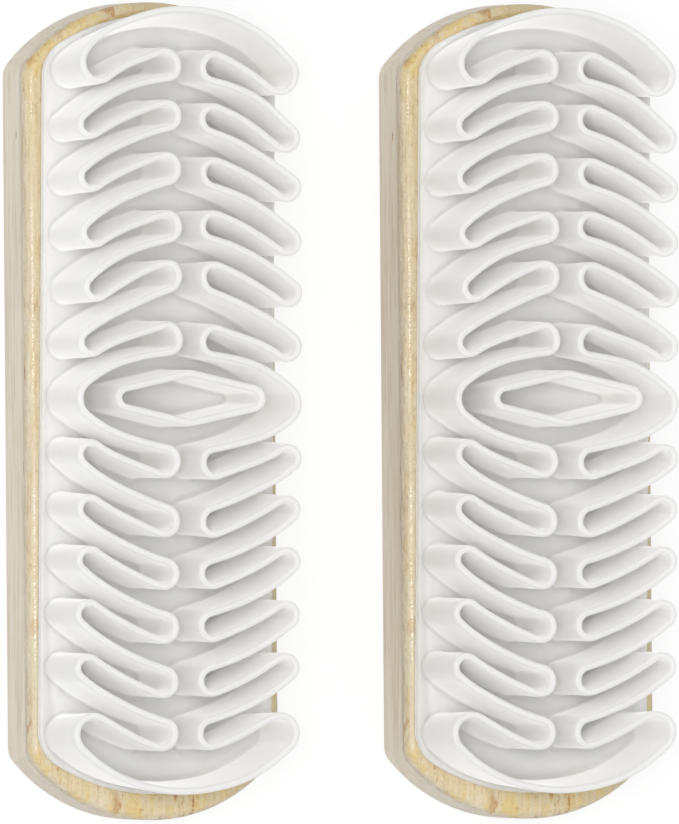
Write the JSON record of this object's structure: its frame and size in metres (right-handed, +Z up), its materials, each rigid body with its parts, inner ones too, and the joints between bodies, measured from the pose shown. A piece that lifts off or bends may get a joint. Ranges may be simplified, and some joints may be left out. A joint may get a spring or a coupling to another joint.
{
  "type": "suede brush",
  "caption": "Hand brushes for suede and nubuck: a pine block with a glued-on white rubber pad, one tall thin wall folded into fingers round a diamond ring.",
  "frame": {"origin": "on the surface the brushes lie on, midway between them", "axes": "+Z up, out of the rubber; +Y along the blocks' long sides; +X from the left brush to the right one"},
  "size_m": [0.1128, 0.1416, 0.0358],
  "materials": {
    "pine": "clear lacquer, satin",
    "adhesive": "dried glue",
    "rubber": "matte, moulded"
  },
  "bodies": {
    "left_brush": {"left_wooden_block": "pine", "left_adhesive_film": "adhesive", "left_rubber_pad": "rubber"},
    "right_brush": {"right_wooden_block": "pine", "right_adhesive_film": "adhesive", "right_rubber_pad": "rubber"}
  },
  "joints": [
    {"name": "right_brush_lift", "type": "slide", "parent": "left_brush", "child": "right_brush", "axis": [0, 0, 1], "range_m": [0, 0.06]}
  ]
}
